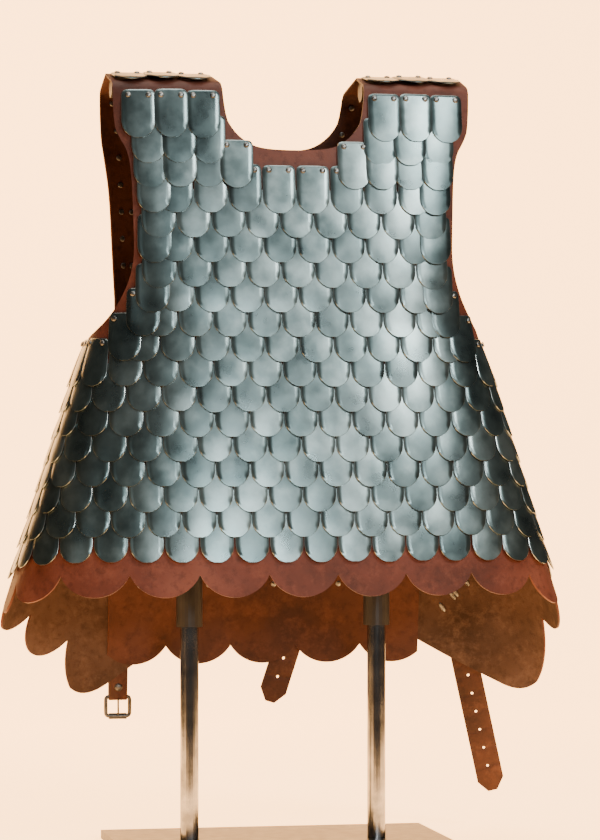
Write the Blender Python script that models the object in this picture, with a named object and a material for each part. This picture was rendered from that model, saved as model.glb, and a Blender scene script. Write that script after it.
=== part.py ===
"""Scale armour vest of riveted steel scales on leather, on a two-pole display stand.

The vest faces -Y. A point of the leather is given by its station, the length round the body
from the front or back centre line, and its pattern height, the length up the pattern. Below
the shoulders the pattern height is the real height. All lengths are in metres.
"""
import bisect
import math
from functools import lru_cache

import bmesh
import bpy
import numpy as np
from mathutils import Matrix, Vector

# Leather and seams
LEATHER = 0.003
SEAM = 0.0003
RIDGE = 1.1144
ARMPIT = 0.720
FRONT_HEM = 0.384
BACK_HEM = 0.272
LOBE_DEPTH_FRONT = 0.030
LOBE_DEPTH_BACK = 0.026
BACK_HALF_WIDTH = 0.224
BACK_SIDE_KNEE = 0.640
FLAT_REACH = 0.20
CURVE_STEPS = 721
SHOULDER_ROWS = (1.0495, 1.0414, 1.0360)
BODY_ROWS = (0.970, 0.900, 0.850, 0.800, 0.760, 0.720, 0.700, 0.646, 0.590, 0.530, 0.470, 0.420)
LEATHER_ROWS = SHOULDER_ROWS + BODY_ROWS
BACK_LOW_ROWS = (0.360, 0.300)
BACK_NECK_RISE = 0.011
TUCK = 0.0048
TUCK_HEIGHTS = (0.72, 1.03)
MOST_DROP = 1.4
CORNER_CUT = 0.030
CORNER_STEPS = 3
CUSP_ROOM = 0.003

# Steel scales
SCALE_PITCH = 0.0467
SCALE_LENGTH = 0.066
COVERED_LENGTH = 0.048
SCALE_THICK = 0.0012
SCALE_SEAT = 0.0009
FLAP_SCALE_SEAT = 0.0012
ROW_PITCH = 0.0335
ROW_STEP = 0.0021
FLAP_ROW_STEP = 0.0024
TOP_ROW = 0.969
RIDGE_ROW_TOP = 0.0015
BEND_LIMIT = 1.0
FRONT_ROWS = 18
BACK_ROWS = 19
BACK_ROW_PITCH = 0.0372
BACK_SCALE_REACH = 0.1945
SHOULDER_SPAN = 0.16
ROUND_UP = 0.3
SAME = 0.001
ROUND_END = 0.95
ROUND_ANGLES = (0.0, 45.0, 90.0, 135.0)
RIVET_INSET = 0.007
EDGE_MARGIN = 0.006
NARROWEST_TONGUE = 0.012
LOBE_PITCH = 2.0 * SCALE_PITCH
STATION = SCALE_PITCH / 2.0

# Straps and buckle
STRAP_WIDTH = 0.038
STRAP_THICK = 0.0026
BUCKLE_WIDTH = 0.036
BUCKLE_HEIGHT = 0.030
BUCKLE_WIRE = 0.0052
BUCKLE_STRAP_WIDTH = 0.026
BUCKLE_STRAP_PIECES = 6
FOLD_ANGLES = (225.0, 270.0, 315.0, 360.0)
PRONG_RADIUS = 0.0013
PRONG_START = (0.0, -0.0050, -0.0046)
PRONG_STOP = (0.0, -0.0055, -0.0270)
HOLE_RADIUS = 0.0028
LONG_STRAP_OVER = 0.0101
BUCKLE_STRAP_OVER = 0.0084
UPPER_STRAP_OVER = 0.0076
STRAP_PIECES = 7
TIP_LENGTH = 0.016
TIP_SHARE = 0.35
TIP_TO_HOLE = 0.036
HOLE_PITCH = 0.0265
LONG_STRAP_STATION = 0.255
LONG_STRAP_TOP = 0.400
LONG_STRAP_LEAN = 0.255
LONG_STRAP_LENGTH = 0.346
LONG_STRAP_HOLES = 6
UPPER_STRAP_STATION = 0.077
UPPER_STRAP_TOP = 0.400
UPPER_STRAP_LEAN = -0.300
UPPER_STRAP_LENGTH = 0.212
UPPER_STRAP_HOLES = 5
BUCKLE_STATION = 0.205
BUCKLE_STRAP_TOP = 0.380
BUCKLE_BAR_HEIGHT = 0.200
FOLD_LENGTH = 0.034
SHOULDER_STATION = 0.172
SHOULDER_STRAP_REACH = 0.055

# Display stand
POLE_OFFSET = 0.131
POLE_RADIUS = 0.0127
ROUND_SEGMENTS = 24
ARM_SEGMENTS = 16
HOLE_SEGMENTS = 8
SLEEVE_RADIUS = 0.018
SLEEVE_FOOT = 0.307
ARM_ENDS = (0.108, 0.240)
ARM_RADIUS = 0.015
BASE_SIZE = (0.460, 0.340, 0.012)

# Sections of the body: pattern height, height, half width, half depth, squareness
SECTIONS = (
    (RIDGE, 1.0605, 0.300, 0.0000, 4.0),
    (1.0495, 1.0450, 0.300, 0.0630, 4.0),
    (1.0414, 1.0410, 0.298, 0.0700, 4.0),
    (1.0360, 1.0360, 0.296, 0.0720, 4.0),
    (0.9000, 0.9000, 0.270, 0.0880, 3.9),
    (0.8000, 0.8000, 0.259, 0.0985, 3.6),
    (0.7600, 0.7600, 0.2570, 0.1030, 3.3),
    (0.7200, 0.7200, 0.2623, 0.1065, 3.1),
    (0.1500, 0.1500, 0.438, 0.1750, 3.0),
)

# Half of the neck opening and of the front's armhole: station, pattern height
NECK = (
    (0.000, 0.955),
    (0.045, 0.957),
    (0.066, 0.965),
    (0.084, 0.981),
    (0.096, 1.003),
    (0.103, RIDGE),
)
ARMHOLE = (
    (0.247, RIDGE),
    (0.246, 0.992),
    (0.239, 0.972),
    (0.227, 0.953),
    (0.222, 0.920),
    (0.220, 0.845),
    (0.220, 0.808),
    (0.228, 0.775),
    (0.250, 0.736),
    (0.286, 0.709),
    (0.340, 0.697),
)
BACK_ARMHOLE = (
    (0.247, RIDGE),
    (0.246, 0.985),
    (0.240, 0.950),
    (0.233, 0.900),
    (0.230, 0.800),
    (0.228, 0.700),
)

# Side flaps, left and right: station where its drop starts, drop per square metre, stations
# of its lowest corner and of its upper corner, height of the upper corner
FLAPS = (
    (0.26, 0.565, 0.772, 0.815, 0.257),
    (0.26, 1.00, 0.648, 0.7525, 0.284),
)
# Stations of the flaps' cusps, left and right, from the front's last one on
FLAP_CUSPS = (
    (0.4203, 0.500, 0.595, 0.684, 0.820),
    (0.4203, 0.530, 0.690),
)
FLAP_REACH = 0.195
FLAP_HEIGHTS = (0.690, 0.620, 0.550, 0.480, 0.410, 0.340, 0.300)

COLOURS = {
    "leather": (0.30, 0.115, 0.065, 0.62, 0.0),
    "back_leather": (0.17, 0.070, 0.045, 0.70, 0.0),
    "strap": (0.20, 0.090, 0.045, 0.60, 0.0),
    "steel": (0.36, 0.39, 0.38, 0.38, 1.0),
    "iron": (0.10, 0.10, 0.10, 0.45, 1.0),
    "black": (0.02, 0.02, 0.02, 0.60, 0.0),
    "chrome": (0.70, 0.71, 0.72, 0.15, 1.0),
}


# Body surface
def section_at(pattern):
    """Height, half width, half depth and squareness at a pattern height."""
    knots = np.array(SECTIONS)[::-1]
    return [float(np.interp(pattern, knots[:, 0], knots[:, column])) for column in range(1, 5)]


@lru_cache(maxsize=None)
def section_curve(pattern):
    """Running length, x and y from the front centre round the right side to the back centre."""
    half_width, half_depth, squareness = section_at(pattern)[1:]
    angle = np.linspace(0.0, math.pi, CURVE_STEPS)
    power = 2.0 / squareness
    x = half_width * np.abs(np.sin(angle)) ** power
    y = -half_depth * np.sign(np.cos(angle)) * np.abs(np.cos(angle)) ** power
    steps = np.hypot(np.diff(x), np.diff(y))
    return np.concatenate(([0.0], np.cumsum(steps))), x, y


def half_girth(height):
    """Length from the front centre line to the back centre line at a height."""
    return float(section_curve(round(height, 5))[0][-1])


def drop_at(station):
    """How far a full flap row has come down at a station of the front."""
    start, rate = FLAPS[1 if station > 0.0 else 0][:2]
    return rate * max(0.0, abs(station) - start) ** 2


def lowered(station, pattern):
    """Pattern height less the drop, which grows from the armpit down to the hem."""
    share = (ARMPIT - pattern) / (ARMPIT - FRONT_HEM)
    return pattern - drop_at(station) * min(max(share, 0.0), MOST_DROP)


def pattern_of(station, height):
    """Pattern height that lowered() brings to a height under the armpit."""
    rate = drop_at(station) / (ARMPIT - FRONT_HEM)
    return (height + rate * ARMPIT) / (1.0 + rate)


def smooth_point(station, pattern, dropped):
    """Point of the body surface, before it is cut into flat facets."""
    over = pattern > RIDGE
    level = 2.0 * RIDGE - pattern if over else pattern
    level = lowered(station, level) if dropped else level
    level = round(level, 6)
    length, x, y = section_curve(level)
    side = 1.0 if station >= 0.0 else -1.0
    flip = -1.0 if over else 1.0
    px = side * float(np.interp(abs(station), length, x))
    py = flip * float(np.interp(abs(station), length, y))
    return Vector((px, py, section_at(level)[0]))


@lru_cache(maxsize=None)
def knot_point(index, pattern, dropped):
    """Surface point and outward normal at a numbered station."""
    station = index * STATION
    step = 0.0004
    along = smooth_point(station + step, pattern, dropped) - smooth_point(station - step, pattern, dropped)
    up = smooth_point(station, pattern + step, dropped) - smooth_point(station, pattern - step, dropped)
    normal = along.cross(up).normalized()
    return smooth_point(station, pattern, dropped), normal


def facet_point(station, pattern, offset, dropped):
    """Point at a distance out of the faceted body surface."""
    place = station / STATION
    index = math.floor(place + SAME)
    share = place - index
    pattern = round(pattern, 6)
    low, low_normal = knot_point(index, pattern, dropped)
    high, high_normal = knot_point(index + 1, pattern, dropped)
    return (low + low_normal * offset).lerp(high + high_normal * offset, share)


def front_point(station, pattern, offset):
    """Point on the front leather; offset 0 is its inner face."""
    return facet_point(station, pattern, offset, True)


def tuck_at(pattern):
    """How far the back leather lies inside the front's surface at a pattern height."""
    return float(np.interp(pattern, TUCK_HEIGHTS, (TUCK, 0.0)))


def back_point(station, pattern, offset):
    """Point on the back leather; offset 0 is its inner face."""
    point = facet_point(station, pattern, offset - tuck_at(pattern), False)
    return Vector((point.x, -point.y, point.z))


# Outlines in station and pattern height
def mirrored(points):
    """The same points on the other side, in reverse order."""
    return [(-station, pattern) for station, pattern in reversed(points)]


def lobe_drop(station, depth):
    """How far a lobe hangs below its cusps at a station: an arc between two cusps."""
    cusps = FLAP_CUSPS[1 if station > 0.0 else 0]
    place = abs(station)
    low = math.floor(place / LOBE_PITCH + 0.5) * LOBE_PITCH - LOBE_PITCH / 2.0
    high = low + LOBE_PITCH
    if place > cusps[0]:
        index = min(bisect.bisect_left(cusps, place), len(cusps) - 1)
        low, high = cusps[index - 1], cusps[index]
    reach = (high - low) / 2.0
    radius = (reach ** 2 + depth ** 2) / (2.0 * depth)
    off_centre = min(abs(place - (high + low) / 2.0), reach)
    return math.sqrt(radius ** 2 - off_centre ** 2) - (radius - depth)


def lobe_edge(start, stop, hem, depth):
    """Lobed lower edge between two stations, whose cusps lie at the hem."""
    step = STATION / 2.0
    direction = 1 if stop > start else -1
    first = math.floor(start / step * direction + 1.0 + SAME)
    last = math.ceil(stop / step * direction - 1.0 - SAME)
    cusps = [-cusp for cusp in FLAP_CUSPS[0][1:]] + list(FLAP_CUSPS[1][1:])
    low, high = min(start, stop), max(start, stop)
    cusps = [cusp for cusp in cusps if low < cusp < high]
    even = [index * step * direction for index in range(first, last + 1)]
    even = [station for station in even if all(abs(station - cusp) > CUSP_ROOM for cusp in cusps)]
    stations = sorted([start, stop] + cusps + even, reverse=direction < 0)
    return [(station, hem - lobe_drop(station, depth)) for station in stations]


def flap_edge(side):
    """End edge of a side flap, from its top behind the armhole to its lowest corner."""
    low_station, high_station, high_height = FLAPS[1 if side > 0 else 0][2:]
    points = []
    for height in FLAP_HEIGHTS:
        station = side * (half_girth(height) - FLAP_REACH)
        points.append((station, pattern_of(station, height)))
    points.append((side * high_station, pattern_of(side * high_station, high_height)))
    return points, side * low_station


def flap_corner(above, hem):
    """Hem points from a flap's lowest corner, which gives way to a curve from its end edge."""
    corner = np.array(hem[0])
    kept = [point for point in hem if abs(point[0] - corner[0]) > CORNER_CUT]
    start = corner + (np.array(above) - corner) * CORNER_CUT / math.dist(above, corner)
    curve = []
    for step in range(CORNER_STEPS):
        share = step / CORNER_STEPS
        first = start + (corner - start) * share
        second = corner + (np.array(kept[0]) - corner) * share
        station, pattern = first + (second - first) * share
        curve.append((float(station), float(pattern)))
    return curve + kept


def front_outline():
    """Front leather with both side flaps, anticlockwise from the left shoulder."""
    right_edge, right_corner = flap_edge(1)
    left_edge, left_corner = flap_edge(-1)
    top = RIDGE - SEAM / 2.0
    shoulder = [(station, min(pattern, top)) for station, pattern in ARMHOLE]
    neck = [(station, min(pattern, top)) for station, pattern in NECK]
    outline = mirrored(neck)[:-1] + neck
    outline += shoulder + right_edge
    hem = lobe_edge(right_corner, left_corner, FRONT_HEM, LOBE_DEPTH_FRONT)
    hem = flap_corner(right_edge[-1], hem)
    outline += reversed(flap_corner(left_edge[-1], hem[::-1]))
    outline += list(reversed(left_edge))
    outline += mirrored(shoulder)
    return outline


def back_outline():
    """Back leather, longer than the front and narrower than the girth that the flaps leave."""
    top = RIDGE - SEAM / 2.0
    shoulder = [(station, min(pattern, top)) for station, pattern in BACK_ARMHOLE]
    neck = [(station, min(pattern + BACK_NECK_RISE, top)) for station, pattern in NECK]
    side = shoulder + [(BACK_HALF_WIDTH, BACK_SIDE_KNEE)]
    outline = mirrored(neck)[:-1] + neck
    outline += side
    outline += lobe_edge(BACK_HALF_WIDTH, -BACK_HALF_WIDTH, BACK_HEM, LOBE_DEPTH_BACK)
    outline += mirrored(side)
    return outline


def spans(outline, level):
    """Stretches of a level that lie inside an outline, from left to right."""
    crossings = []
    for (start, low), (stop, high) in zip(outline, outline[1:] + outline[:1]):
        if (low > level) != (high > level):
            crossings.append(start + (stop - start) * (level - low) / (high - low))
    crossings.sort()
    return list(zip(crossings[::2], crossings[1::2]))


def row_spans(outline, bottom, reach):
    """Stretches where a row's scales have leather behind their rivets and lower ends."""
    upper = spans(outline, bottom + SCALE_LENGTH - RIVET_INSET)
    lower = spans(outline, bottom + EDGE_MARGIN)
    stretches = []
    for start, stop in upper:
        for below_start, below_stop in lower:
            low = max(start, below_start, -reach) + EDGE_MARGIN
            high = min(stop, below_stop, reach) - EDGE_MARGIN
            if high - low > SCALE_PITCH:
                stretches.append((low, high))
    return stretches


def scale_edges(low, high, row):
    """Stations where neighbouring scales meet; short stretches are shared out evenly."""
    if high - low < SHOULDER_SPAN:
        count = round((high - low) / SCALE_PITCH + ROUND_UP)
        return [low + (high - low) * index / count for index in range(count + 1)]
    shift = 0.0 if row % 2 else STATION
    first = math.ceil((low - shift) / SCALE_PITCH - SAME)
    last = math.floor((high - shift) / SCALE_PITCH + SAME)
    edges = [shift + SCALE_PITCH * index for index in range(first, last + 1)]
    if edges[0] - low > NARROWEST_TONGUE:
        edges.insert(0, low)
    if high - edges[-1] > NARROWEST_TONGUE:
        edges.append(high)
    return edges


def comb_outline(edges, bottom, top):
    """Row of round-ended scales, joined at their hidden upper ends."""
    outline = []
    for left, right in zip(edges[:-1], edges[1:]):
        radius = (right - left) / 2.0
        rise = min(radius, SCALE_PITCH / 2.0) * ROUND_END
        for angle in ROUND_ANGLES:
            turn = math.radians(angle)
            outline.append((left + radius - radius * math.cos(turn), bottom + rise * (1.0 - math.sin(turn))))
    radius = (edges[-1] - edges[-2]) / 2.0
    outline.append((edges[-1], bottom + min(radius, SCALE_PITCH / 2.0) * ROUND_END))
    outline.append((edges[-1], top))
    outline.append((edges[0], top))
    return outline


# Solids
def new_object(name, mesh, colour):
    """Put a mesh in the scene with a plain material of its own."""
    red, green, blue, roughness, metallic = COLOURS[colour]
    material = bpy.data.materials.new(name)
    material.use_nodes = True
    shader = material.node_tree.nodes["Principled BSDF"]
    shader.inputs["Base Color"].default_value = (red, green, blue, 1.0)
    shader.inputs["Roughness"].default_value = roughness
    shader.inputs["Metallic"].default_value = metallic
    mesh.materials.append(material)
    thing = bpy.data.objects.new(name, mesh)
    bpy.context.scene.collection.objects.link(thing)
    return thing


def mesh_object(name, solid, colour):
    """Turn a finished bmesh into an object with its faces pointing out."""
    bmesh.ops.recalc_face_normals(solid, faces=solid.faces[:])
    mesh = bpy.data.meshes.new(name)
    solid.to_mesh(mesh)
    solid.free()
    return new_object(name, mesh, colour)


def flat_grid(outline, columns, rows):
    """Plane triangles of an outline in station and pattern height, cut along columns and rows."""
    grid = bmesh.new()
    grid.faces.new([grid.verts.new((station, pattern, 0.0)) for station, pattern in outline])
    cuts = [((column, 0.0, 0.0), (1.0, 0.0, 0.0)) for column in columns]
    cuts += [((0.0, row, 0.0), (0.0, 1.0, 0.0)) for row in rows]
    for place, normal in cuts:
        geometry = grid.verts[:] + grid.edges[:] + grid.faces[:]
        bmesh.ops.bisect_plane(grid, geom=geometry, dist=0.00005, plane_co=place, plane_no=normal)
    bmesh.ops.triangulate(grid, faces=grid.faces[:])
    return grid


def wall_solid(name, colour, outline, point, inner, outer, columns=(), rows=()):
    """Closed wall between two offsets of the body surface, inside an outline."""
    grid = flat_grid(outline, columns, rows)
    solid = bmesh.new()
    lower = {}
    upper = {}
    for vert in grid.verts:
        station, pattern = vert.co.x, vert.co.y
        lower[vert] = solid.verts.new(point(station, pattern, inner(pattern)))
        upper[vert] = solid.verts.new(point(station, pattern, outer(pattern)))
    for face in grid.faces:
        solid.faces.new([upper[vert] for vert in face.verts])
        solid.faces.new([lower[vert] for vert in reversed(face.verts)])
    for edge in grid.edges:
        if edge.is_boundary:
            first, second = edge.verts
            solid.faces.new((upper[first], upper[second], lower[second], lower[first]))
    grid.free()
    return mesh_object(name, solid, colour)


def station_lines(low, high, stride=1):
    """Numbered stations between two limits."""
    first = math.ceil(low / STATION)
    last = math.floor(high / STATION)
    return [index * STATION for index in range(first, last + 1) if index % stride == 0]


def build_leather():
    """Front leather with its flaps and back leather."""
    sides = station_lines(-1.0, -FLAT_REACH) + station_lines(FLAT_REACH, 1.0)
    columns = sides + station_lines(-FLAT_REACH, FLAT_REACH, 2)
    wall_solid("leather_front", "leather", front_outline(), front_point,
               lambda pattern: 0.0, lambda pattern: LEATHER, columns, LEATHER_ROWS)
    columns = station_lines(-BACK_HALF_WIDTH, BACK_HALF_WIDTH, 2)
    wall_solid("leather_back", "back_leather", back_outline(), back_point,
               lambda pattern: 0.0, lambda pattern: LEATHER, columns, LEATHER_ROWS + BACK_LOW_ROWS)


def scale_row(name, edges, bottom, point):
    """One row of scales, tilted so that its lower ends lie over the rows below."""
    top = bottom + (SCALE_LENGTH if bottom > ARMPIT else COVERED_LENGTH)
    round_the_side = point is front_point and bottom < ARMPIT
    slope = (FLAP_ROW_STEP if round_the_side else ROW_STEP) / ROW_PITCH
    seat = FLAP_SCALE_SEAT if round_the_side else SCALE_SEAT

    def inner(pattern):
        return LEATHER + seat + slope * (top - pattern)

    def outer(pattern):
        return inner(pattern) + SCALE_THICK

    columns = station_lines(edges[0], edges[-1])
    bends = [section[0] for section in SECTIONS if section[0] < BEND_LIMIT]
    wall_solid(name, "steel", comb_outline(edges, bottom, top), point, inner, outer, columns, bends)


def build_rows(panel, outline, point, bottoms, reach):
    """All scale rows of a panel; a row that the neck parts is two pieces."""
    for row, bottom in enumerate(bottoms):
        stretches = row_spans(outline, bottom, reach if bottom < ARMPIT else 1.0)
        for low, high in stretches:
            side = ""
            if len(stretches) > 1:
                side = "_right" if low > 0.0 else "_left"
            scale_row(f"{panel}_scales_{row:02d}{side}", scale_edges(low, high, row), bottom, point)


def build_scales():
    """Scale rows of the front, of the back and along the shoulder ridge."""
    outline = front_outline()
    bottoms = [TOP_ROW - ROW_PITCH * row for row in range(FRONT_ROWS)]
    build_rows("front", outline, front_point, bottoms, 1.0)
    ridge_bottom = RIDGE - RIDGE_ROW_TOP - SCALE_LENGTH
    for low, high in row_spans(outline, ridge_bottom, 1.0):
        side = "right" if low > 0.0 else "left"
        scale_row(f"ridge_scales_{side}", scale_edges(low, high, 0), ridge_bottom, front_point)
    bottoms = [TOP_ROW - BACK_ROW_PITCH * row for row in range(BACK_ROWS)]
    build_rows("back", back_outline(), back_point, bottoms, BACK_SCALE_REACH)


# Straps, buckle and stand
def strap_solid(name, route, width, across, colour="strap"):
    """Flat strap along a route of points, with a width direction and a pointed or square end."""
    solid = bmesh.new()
    rings = []
    for index, place in enumerate(route):
        ahead = Vector(route[min(index + 1, len(route) - 1)])
        behind = Vector(route[max(index - 1, 0)])
        along = (ahead - behind).normalized()
        half = width[index] / 2.0
        side = Vector(across).normalized()
        out = side.cross(along).normalized() * (STRAP_THICK / 2.0)
        place = Vector(place)
        corners = (place - side * half - out, place + side * half - out,
                   place + side * half + out, place - side * half + out)
        rings.append([solid.verts.new(corner) for corner in corners])
    for first, second in zip(rings[:-1], rings[1:]):
        for corner in range(4):
            after = (corner + 1) % 4
            solid.faces.new((first[corner], first[after], second[after], second[corner]))
    solid.faces.new(rings[0])
    solid.faces.new(rings[-1])
    return mesh_object(name, solid, colour)


def hanging_route(top, lean, length, pieces):
    """Points straight down from a height, leaning sideways."""
    steps = [length * index / pieces for index in range(pieces + 1)]
    return [(top[0] + lean[0] * step, top[1] + lean[1] * step, top[2] - step) for step in steps]


def pierced(thing, name, places, radius, depth):
    """Cut round holes through a strap along Y."""
    mesh = bpy.data.meshes.new(name)
    cutters = bmesh.new()
    for place in places:
        matrix = Matrix.Translation(place) @ Matrix.Rotation(math.pi / 2.0, 4, "X")
        bmesh.ops.create_cone(cutters, cap_ends=True, segments=HOLE_SEGMENTS, radius1=radius,
                              radius2=radius, depth=depth, matrix=matrix)
    cutters.to_mesh(mesh)
    cutters.free()
    cutter = bpy.data.objects.new(name, mesh)
    bpy.context.scene.collection.objects.link(cutter)
    cutter.hide_render = True
    cutter.display_type = "WIRE"
    cut = thing.modifiers.new("holes", "BOOLEAN")
    cut.object = cutter
    cut.solver = "EXACT"


def across_back(station, pattern):
    """Direction of the back's surface from left to right at a place."""
    right = back_point(station + STATION, pattern, 0.0)
    left = back_point(station - STATION, pattern, 0.0)
    return (right - left).normalized()


def long_strap(name, station, top, lean, length, holes, stand_off):
    """Pointed strap that hangs from a place on the back, with a line of holes."""
    seat = back_point(station, top, LEATHER + stand_off)
    lower = back_point(station, max(top - length, BACK_HEM), LEATHER + stand_off)
    fall = (lower.y - seat.y) / (seat.z - lower.z)
    route = hanging_route(seat, (lean, fall), length - TIP_LENGTH, STRAP_PIECES)
    route.append((seat.x + lean * length, seat.y + fall * length, seat.z - length))
    widths = [STRAP_WIDTH] * (STRAP_PIECES + 1) + [STRAP_WIDTH * TIP_SHARE]
    across = across_back(station, top)
    strap = strap_solid(name, route, widths, (across.x, across.y, lean))
    places = []
    for number in range(holes):
        step = length - TIP_TO_HOLE - HOLE_PITCH * number
        places.append(Vector((seat.x + lean * step, seat.y + fall * step, seat.z - step)))
    pierced(strap, f"{name}_holes", places, HOLE_RADIUS, 4.0 * STRAP_THICK)


def buckle_strap():
    """Folded strap on the left flap with a hanging buckle frame and its prong."""
    station = -BUCKLE_STATION
    seat = back_point(station, BUCKLE_STRAP_TOP, LEATHER + BUCKLE_STRAP_OVER)
    lower = back_point(station, BACK_HEM, LEATHER + BUCKLE_STRAP_OVER)
    fall = (lower.y - seat.y) / (seat.z - lower.z)
    length = BUCKLE_STRAP_TOP - BUCKLE_BAR_HEIGHT
    turn = BUCKLE_WIRE / 2.0 + STRAP_THICK / 2.0 + SEAM
    route = hanging_route(seat, (0.0, fall), length, BUCKLE_STRAP_PIECES)
    bar = Vector((seat.x, route[-1][1] + turn, route[-1][2]))
    for angle in FOLD_ANGLES:
        bend = math.radians(angle)
        route.append((bar.x, bar.y + turn * math.cos(bend), bar.z + turn * math.sin(bend)))
    route.append((bar.x, bar.y + turn, bar.z + FOLD_LENGTH))
    strap_solid("buckle_strap", route, [BUCKLE_STRAP_WIDTH] * len(route), (1.0, 0.0, 0.0))
    frame_loop("buckle_frame", bar)
    rod("buckle_prong", bar + Vector(PRONG_START), bar + Vector(PRONG_STOP), PRONG_RADIUS, "iron",
        ARM_SEGMENTS)


def frame_loop(name, bar):
    """Rectangular wire loop of a buckle, whose upper bar runs through the strap's fold."""
    half = BUCKLE_WIDTH / 2.0
    corners = [bar + Vector((-half, 0.0, 0.0)), bar + Vector((half, 0.0, 0.0)),
               bar + Vector((half, 0.0, -BUCKLE_HEIGHT)), bar + Vector((-half, 0.0, -BUCKLE_HEIGHT))]
    curve = bpy.data.curves.new(name, "CURVE")
    curve.dimensions = "3D"
    curve.bevel_depth = BUCKLE_WIRE / 2.0
    curve.bevel_resolution = 1
    spline = curve.splines.new("POLY")
    spline.points.add(3)
    spline.use_cyclic_u = True
    for point, corner in zip(spline.points, corners):
        point.co = (corner.x, corner.y, corner.z, 1.0)
    new_object(name, curve, "iron")


def rod(name, start, stop, radius, colour, segments):
    """Solid round bar between two points."""
    along = Vector(stop) - Vector(start)
    solid = bmesh.new()
    turn = along.to_track_quat("Z", "Y").to_matrix().to_4x4()
    matrix = Matrix.Translation((Vector(start) + Vector(stop)) / 2.0) @ turn
    bmesh.ops.create_cone(solid, cap_ends=True, segments=segments, radius1=radius, radius2=radius,
                          depth=along.length, matrix=matrix)
    return mesh_object(name, solid, colour)


def build_straps():
    """Closures at the back and the shoulder straps."""
    long_strap("long_strap", LONG_STRAP_STATION, LONG_STRAP_TOP, LONG_STRAP_LEAN, LONG_STRAP_LENGTH,
               LONG_STRAP_HOLES, LONG_STRAP_OVER)
    long_strap("upper_strap", UPPER_STRAP_STATION, UPPER_STRAP_TOP, UPPER_STRAP_LEAN,
               UPPER_STRAP_LENGTH, UPPER_STRAP_HOLES, UPPER_STRAP_OVER)
    buckle_strap()
    for side, station in (("left", -SHOULDER_STATION), ("right", SHOULDER_STATION)):
        half = STRAP_WIDTH / 2.0
        reach = RIDGE + SHOULDER_STRAP_REACH
        start = RIDGE - SEAM / 2.0
        outline = [(station - half, start), (station + half, start),
                   (station + half, reach), (station, reach + half), (station - half, reach)]
        lines = [2.0 * RIDGE - row for row in SHOULDER_ROWS]
        wall_solid(f"shoulder_strap_{side}", "strap", outline, front_point,
                   lambda pattern: LEATHER + 2.0 * SEAM, lambda pattern: LEATHER + STRAP_THICK,
                   station_lines(station - half, station + half), lines)


def build_stand():
    """Base plate, chrome poles and black sleeves with a shoulder arm each."""
    solid = bmesh.new()
    bmesh.ops.create_cube(solid, size=1.0, matrix=Matrix.Translation((0.0, 0.0, BASE_SIZE[2] / 2.0))
                          @ Matrix.Diagonal((*BASE_SIZE, 1.0)))
    mesh_object("base_plate", solid, "black")
    ridge, below = SECTIONS[0], SECTIONS[1]
    steepness = math.atan2(ridge[1] - below[1], below[3])
    arm_height = ridge[1] - (ARM_RADIUS + SEAM) / math.cos(steepness)
    for side, sign in (("left", -1.0), ("right", 1.0)):
        x = sign * POLE_OFFSET
        foot = (x, 0.0, BASE_SIZE[2] + SEAM)
        join = (x, 0.0, SLEEVE_FOOT)
        rod(f"pole_{side}", foot, join, POLE_RADIUS, "chrome", ROUND_SEGMENTS)
        top = arm_height - ARM_RADIUS - SEAM
        rod(f"sleeve_{side}", (x, 0.0, SLEEVE_FOOT + SEAM), (x, 0.0, top), SLEEVE_RADIUS, "black",
            ROUND_SEGMENTS)
        ends = [(sign * reach, 0.0, arm_height) for reach in ARM_ENDS]
        rod(f"arm_{side}", ends[0], ends[1], ARM_RADIUS, "black", ARM_SEGMENTS)


def main():
    """Clear the scene and build every piece."""
    for thing in list(bpy.data.objects):
        bpy.data.objects.remove(thing, do_unlink=True)
    build_leather()
    build_scales()
    build_straps()
    build_stand()


main()
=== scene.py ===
# %% [markdown]
# A vest of scale armour: a brown leather front and back, and on them rows of round-ended steel
# scales that overlap like roof tiles. It hangs on two poles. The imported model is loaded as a
# fixed frame, and each soft or riveted piece is then made again with its fine form and finish.

# %% Load the frame
import math

import bmesh
import bpy
import numpy as np
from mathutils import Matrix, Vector


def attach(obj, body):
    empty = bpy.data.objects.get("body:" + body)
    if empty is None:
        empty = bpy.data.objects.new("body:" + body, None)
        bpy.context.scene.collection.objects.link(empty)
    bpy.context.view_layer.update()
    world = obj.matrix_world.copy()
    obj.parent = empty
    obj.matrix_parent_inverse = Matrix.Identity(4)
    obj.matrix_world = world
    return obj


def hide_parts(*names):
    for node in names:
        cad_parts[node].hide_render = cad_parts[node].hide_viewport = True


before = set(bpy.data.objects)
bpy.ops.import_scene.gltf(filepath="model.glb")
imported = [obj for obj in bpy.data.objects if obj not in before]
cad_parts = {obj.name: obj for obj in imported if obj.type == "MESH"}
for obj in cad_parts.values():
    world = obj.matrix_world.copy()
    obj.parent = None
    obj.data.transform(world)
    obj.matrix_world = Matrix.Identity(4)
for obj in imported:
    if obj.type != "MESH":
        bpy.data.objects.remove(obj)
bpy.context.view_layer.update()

# %% [markdown]
# The vest's body is one smooth surface. A place on it has a station, the length round the body
# from a centre line, and a pattern height. The table gives the level sections: rounded
# rectangles that widen towards the hem. Looking points up in one fine grid of the surface makes
# thousands of scale vertices cheap, which a search for each vertex would not be.

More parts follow.
